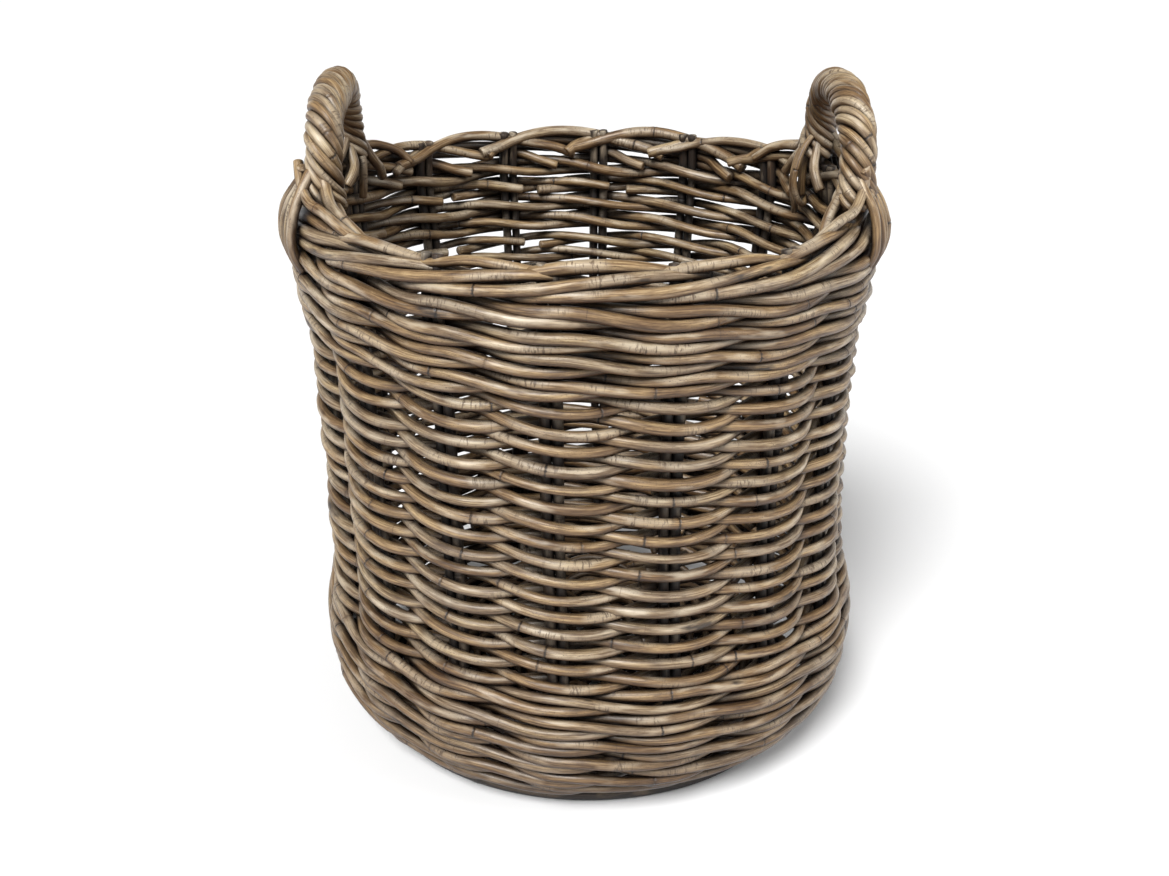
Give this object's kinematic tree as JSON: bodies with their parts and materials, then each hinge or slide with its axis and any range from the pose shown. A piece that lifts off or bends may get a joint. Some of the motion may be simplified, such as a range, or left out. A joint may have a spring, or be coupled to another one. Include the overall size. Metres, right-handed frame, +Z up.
{
  "type": "wicker log basket",
  "caption": "Round cane log basket with a twined wall, thick waled bands, a rolled border and two rigid roped handles.",
  "frame": {"origin": "middle of the foot hoop's underside, on the floor", "axes": "+Z up, handles at +X and -X, front at -Y"},
  "size_m": [0.5104, 0.5104, 0.584],
  "materials": {
    "stake_cane": "satin weathered rattan cane",
    "siding_cane": "satin weathered rattan cane",
    "wale_cane": "satin weathered rattan cane",
    "border_cane": "satin weathered rattan cane",
    "base_cane": "satin weathered rattan cane",
    "handle_cane": "satin weathered rattan cane",
    "hoop_cane": "satin weathered rattan cane"
  },
  "bodies": {
    "root": {"base_sticks_lower": "base_cane", "base_sticks_upper": "base_cane", "base_binding": "base_cane", "base_ring_01": "base_cane", "base_ring_02": "base_cane", "base_ring_03": "base_cane", "base_ring_04": "base_cane", "base_ring_05": "base_cane", "base_ring_06": "base_cane", "base_ring_07": "base_cane", "foot_hoop": "hoop_cane", "stakes": "stake_cane", "bottom_wale_row_01": "wale_cane", "bottom_wale_row_02": "wale_cane", "bottom_wale_row_03": "wale_cane", "bottom_wale_row_04": "wale_cane", "bottom_wale_row_05": "wale_cane", "bottom_wale_row_06": "wale_cane", "siding_row_01": "siding_cane", "siding_row_02": "siding_cane", "siding_row_03": "siding_cane", "siding_row_04": "siding_cane", "siding_row_05": "siding_cane", "siding_row_06": "siding_cane", "siding_row_07": "siding_cane", "siding_row_08": "siding_cane", "siding_row_09": "siding_cane", "siding_row_10": "siding_cane", "siding_row_11": "siding_cane", "siding_row_12": "siding_cane", "siding_row_13": "siding_cane", "siding_row_14": "siding_cane", "siding_row_15": "siding_cane", "siding_row_16": "siding_cane", "top_wale_row_01": "wale_cane", "top_wale_row_02": "wale_cane", "top_wale_row_03": "wale_cane", "top_wale_row_04": "wale_cane", "top_wale_row_05": "wale_cane", "border": "border_cane", "handle_core_left": "handle_cane", "handle_wrap_left": "handle_cane", "handle_tails_left": "handle_cane", "handle_core_right": "handle_cane", "handle_wrap_right": "handle_cane", "handle_tails_right": "handle_cane"}
  },
  "joints": []
}
